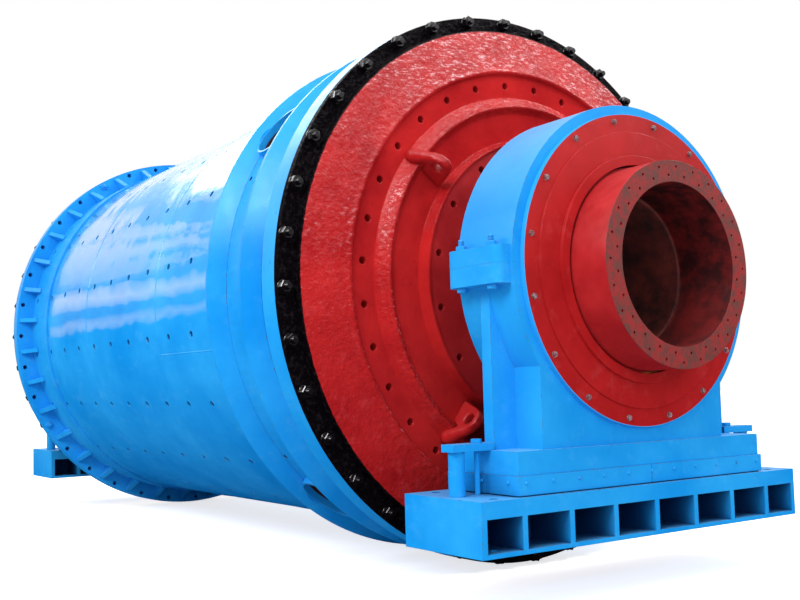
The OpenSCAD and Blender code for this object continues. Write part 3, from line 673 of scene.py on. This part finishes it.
def weld_bead(mesh, points, width, height, seed, closed=False):
    """A weld bead along points, each given as (place, outward direction)."""
    rng = random.Random(seed)
    rows = []
    count = len(points)
    for k, (spot, out) in enumerate(points):
        ahead = points[(k + 1) % count if closed else min(k + 1, count - 1)][0]
        behind = points[(k - 1) % count if closed else max(k - 1, 0)][0]
        along = (ahead - behind).normalized()
        side = along.cross(out).normalized()
        ripple = 1 + rng.uniform(-0.18, 0.18)
        wide = width / 2 * (1 + rng.uniform(-0.08, 0.08))
        rows.append([mesh.verts.new(spot + side * wide * w + out * (height * ripple * h))
                     for w, h in ((-1, -0.3), (-0.7, 0.5), (0, 1), (0.7, 0.5), (1, -0.3))])
    for k in range(count if closed else count - 1):
        here, there = rows[k], rows[(k + 1) % count]
        for j in range(len(here) - 1):
            mesh.faces.new((here[j], here[j + 1], there[j + 1], there[j]))


def shell_point(x, turn):
    """A place on the shell and its outward direction, at a turn from -Y towards +Z."""
    away = Vector((0, -math.cos(turn), math.sin(turn)))
    return Vector((x, 0, AXIS_Z)) + away * SHELL_R, away


def shell_welds():
    """The two seams round the shell, and two along each of its courses."""
    mesh = bmesh.new()
    around = 720
    for seed, x in enumerate((COURSE_1_X, COURSE_2_X)):
        points = [shell_point(x, 2 * math.pi * k / around) for k in range(around)]
        weld_bead(mesh, points, 16 * MM, 2.5 * MM, seed, closed=True)
    band_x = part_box("port_band")[0][0]
    seams = ((NECK_END_X, COURSE_1_X, 88), (COURSE_1_X, COURSE_2_X, 64), (COURSE_2_X, band_x, -6))
    for seed, (x0, x1, angle) in enumerate(seams, 20):
        for turn in (angle, angle + 180):
            steps = int((x1 - x0) / (12 * MM))
            points = [shell_point(x0 + (x1 - x0) * k / steps, math.radians(turn + DRUM_TURN))
                      for k in range(steps + 1)]
            weld_bead(mesh, points, 12 * MM, 1 * MM, seed)
    piece("shell_welds", mesh, "drum", DRUM_PAINT, 60)


# ---- small parts on the bearings ----

def disc_bolts():
    """Small bolt heads round the seal discs."""
    rng = random.Random(5)
    mesh = bmesh.new()
    count = 16
    face_x = GLAND_X - 8 * MM
    for k in range(count):
        spot = on_axis(DISC_R - 36 * MM, 10.5 + 360 * k / count, face_x, rng.uniform(0, math.pi / 3))
        nut(mesh, spot, 13 * MM, 9 * MM, 4 * MM, washer=15 * MM, washer_t=2 * MM, stud=0.5 * MM)
    both_ends("disc_bolts", mesh, "bearings", BRIGHT_STEEL)


def guard_screws():
    """Screw heads along the guard strips."""
    mesh = bmesh.new()
    low, high = corners("discharge_guard_strips")
    z = (low.z + high.z) / 2 + 12 * MM
    head = [(9 * MM, 0), (9 * MM, 3 * MM), (7 * MM, 6 * MM), (0, 7 * MM)]
    long_count = 11
    margin = 44 * MM
    for x, way in ((high.x, 1), (low.x, -1)):
        for k in range(long_count):
            y = low.y + margin + k * (high.y - low.y - 2 * margin) / (long_count - 1)
            lathe(mesh, head, 12, Matrix.Translation((x, y, z)) @ Matrix.Rotation(way * math.pi / 2, 4, "Y"))
    short_pitch = (high.x - low.x) * 0.36
    for y, way in ((high.y, -1), (low.y, 1)):
        for k in (-1, 0, 1):
            x = k * short_pitch
            lathe(mesh, head, 12, Matrix.Translation((x, y, z)) @ Matrix.Rotation(way * math.pi / 2, 4, "X"))
    both_ends("guard_screws", mesh, "bearings", PAINTED_STEEL)


def joint_studs():
    """Studs and nuts of the housing joints, with chamfered nuts and threaded ends."""
    mesh = bmesh.new()
    low, high = corners("discharge_studs")
    block_top = high.z - STUD_NUT_H - STUD_END
    block_bottom = low.z + STUD_NUT_H
    nut_half_width = STUD_NUT_R * math.cos(math.pi / 6)
    height, bore = 22 * MM, 13 * MM
    for x in (low.x + STUD_NUT_R, high.x - STUD_NUT_R):
        for y in (low.y + nut_half_width, high.y - nut_half_width):
            up = Matrix.Translation((x, y, block_top)) @ Matrix.Rotation(0.3 * x, 4, "Z")
            nut(mesh, up, STUD_NUT_R, height, bore)
            thread(mesh, up, 14 * MM, height, 52 * MM)
            down = Matrix.Translation((x, y, block_bottom)) @ Matrix.Rotation(math.pi, 4, "X")
            nut(mesh, down, STUD_NUT_R, height, bore, stud=0.5 * MM)
    for obj, end in zip(both_ends("joint_studs", mesh, "bearings", PAINTED_STEEL), ENDS):
        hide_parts(end + "_studs")


def thread(mesh, matrix, radius, low, high):
    """A stud's end with thread ridges and a rounded tip."""
    pitch = 3.5 * MM
    root = radius * 0.9
    profile = [(root, low)]
    for k in range(int((high - low - 3 * MM) / pitch)):
        z = low + k * pitch
        profile += [(root, z + pitch * 0.1), (radius, z + pitch * 0.5), (root, z + pitch * 0.9)]
    profile += [(radius * 0.8, high), (0, high)]
    lathe(mesh, profile, 16, matrix)


# ---- studio ----

CAMERA_SPOT = (3.700, -3.882, 0.736)
CAMERA_AZIMUTH = 54.79
CAMERA_RISE = 4.65
CAMERA_ROLL = -1.46
CAMERA_LENS = 47.1
FLOOR_GREY = (0.5, 0.51, 0.52, 1)
FLOOR_PALE = (0.85, 0.85, 0.85, 1)
FLOOR_GLOW = 0.72


def make_camera():
    """Low in front of the discharge end, looking up along the drum."""
    azimuth = math.radians(CAMERA_AZIMUTH)
    rise = math.radians(CAMERA_RISE)
    roll = math.radians(CAMERA_ROLL)
    ahead = Vector((-math.sin(azimuth) * math.cos(rise), math.cos(azimuth) * math.cos(rise), math.sin(rise)))
    level = Vector((math.cos(azimuth), math.sin(azimuth), 0))
    above = level.cross(ahead)
    right = level * math.cos(roll) + above * math.sin(roll)
    up = above * math.cos(roll) - level * math.sin(roll)
    camera = bpy.data.objects.new("camera", bpy.data.cameras.new("camera"))
    camera.data.lens = CAMERA_LENS
    camera.data.sensor_width = 36
    rows = Matrix((right, up, -ahead)).transposed()
    camera.matrix_world = Matrix.Translation(CAMERA_SPOT) @ rows.to_4x4()
    bpy.context.scene.collection.objects.link(camera)
    bpy.context.scene.camera = camera


def area_light(name, spot, target, size, power):
    """A rectangular lamp that points at a target."""
    lamp = bpy.data.lights.new(name, "AREA")
    lamp.shape = "RECTANGLE"
    lamp.size, lamp.size_y = size
    lamp.energy = power
    obj = bpy.data.objects.new(name, lamp)
    obj.location = spot
    obj.rotation_euler = (Vector(target) - Vector(spot)).to_track_quat("-Z", "Y").to_euler()
    bpy.context.scene.collection.objects.link(obj)


def shown_rays(tree):
    """1 for the rays that show the background: to the camera, off gloss and through glass."""
    path = tree.nodes.new("ShaderNodeLightPath")
    total = path.outputs["Is Camera Ray"]
    for ray in ("Is Glossy Ray", "Is Transmission Ray"):
        more = tree.nodes.new("ShaderNodeMath")
        more.operation = "MAXIMUM"
        tree.links.new(total, more.inputs[0])
        tree.links.new(path.outputs[ray], more.inputs[1])
        total = more.outputs[0]
    return total


def world_light():
    """A white background, and for the light it gives a sky that fades down to a darker ground."""
    world = bpy.data.worlds.new("studio")
    bpy.context.scene.world = world
    world.use_nodes = True
    tree = world.node_tree
    sky = tree.nodes["Background"]
    sky.inputs["Color"].default_value = (0.94, 0.97, 1.0, 1)
    place = tree.nodes.new("ShaderNodeTexCoord")
    parts = tree.nodes.new("ShaderNodeSeparateXYZ")
    fade = tree.nodes.new("ShaderNodeMapRange")
    fade.inputs["From Min"].default_value = SKY_LOW
    fade.inputs["From Max"].default_value = SKY_HIGH
    fade.inputs["To Min"].default_value = 0.32
    fade.inputs["To Max"].default_value = 0.85
    white = tree.nodes.new("ShaderNodeBackground")
    white.inputs["Color"].default_value = (1, 1, 1, 1)
    mix = tree.nodes.new("ShaderNodeMixShader")
    tree.links.new(place.outputs["Generated"], parts.inputs[0])
    tree.links.new(parts.outputs["Z"], fade.inputs["Value"])
    tree.links.new(fade.outputs[0], sky.inputs["Strength"])
    tree.links.new(shown_rays(tree), mix.inputs[0])
    tree.links.new(sky.outputs[0], mix.inputs[1])
    tree.links.new(white.outputs[0], mix.inputs[2])
    tree.links.new(mix.outputs[0], tree.nodes["World Output"].inputs[0])


def floor_paint():
    """White with a soft shadow where it shows, and a dull grey to the light that bounces off it."""
    s = Shader("floor")
    s.finish(Base_Color=FLOOR_GREY, Roughness=0.9)
    pale = s.node("ShaderNodeBsdfDiffuse", {"Color": FLOOR_PALE}).outputs[0]
    glow = s.node("ShaderNodeEmission", {"Strength": FLOOR_GLOW}).outputs[0]
    shown = s.node("ShaderNodeAddShader", {0: pale, 1: glow}).outputs[0]
    mix = s.node("ShaderNodeMixShader", {0: shown_rays(s.tree), 1: s.bsdf.outputs[0], 2: shown}).outputs[0]
    s.set(s.tree.nodes["Material Output"].inputs["Surface"], mix)
    return s.material


def make_floor():
    """A wide floor just below the drum."""
    gap = 12 * MM
    low = min(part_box(name)[0][2] for name in frame["nodes"]) - gap
    mesh = bmesh.new()
    bmesh.ops.create_grid(mesh, x_segments=1, y_segments=1, size=60)
    data = bpy.data.meshes.new("floor")
    mesh.to_mesh(data)
    mesh.free()
    data.materials.append(floor_paint())
    floor = bpy.data.objects.new("floor", data)
    floor.location = (MID_X, 0, low)
    bpy.context.scene.collection.objects.link(floor)


def make_studio():
    """The background, the floor and the lamps: each has a place, a target, a size and a power."""
    world_light()
    make_floor()
    area_light("key", (2.2, -7.0, 6.5), (-1.0, 0, 1.2), (4, 3), 470)
    area_light("side", (-5.0, -7.0, 4.5), (-3.2, 0, 1.4), (5, 2), 140)
    area_light("over", (1.6, 0.6, 7.5), (-0.8, 0, 1.5), (1.4, 1.4), 60)
    area_light("front", (8.0, -3.0, 3.0), (0, 0, 1.2), (4, 4), 165)
    area_light("sheen", (1.3, 3.8, 5.4), (-0.6, 0.3, 2.4), (1.6, 1.6), 150)
    area_light("along", (-9.0, 1.0, 7.0), (-3.0, 0, 2.0), (6, 3), 260)


# ---- the scene ----

make_camera()
make_studio()
paint_nodes()
casting_skin()
lifting_lugs()
cover_joint_bolts()
feed_flange_nuts()
disc_bolts()
guard_screws()
shell_welds()
joint_studs()

bpy.context.scene.view_settings.view_transform = "Standard"
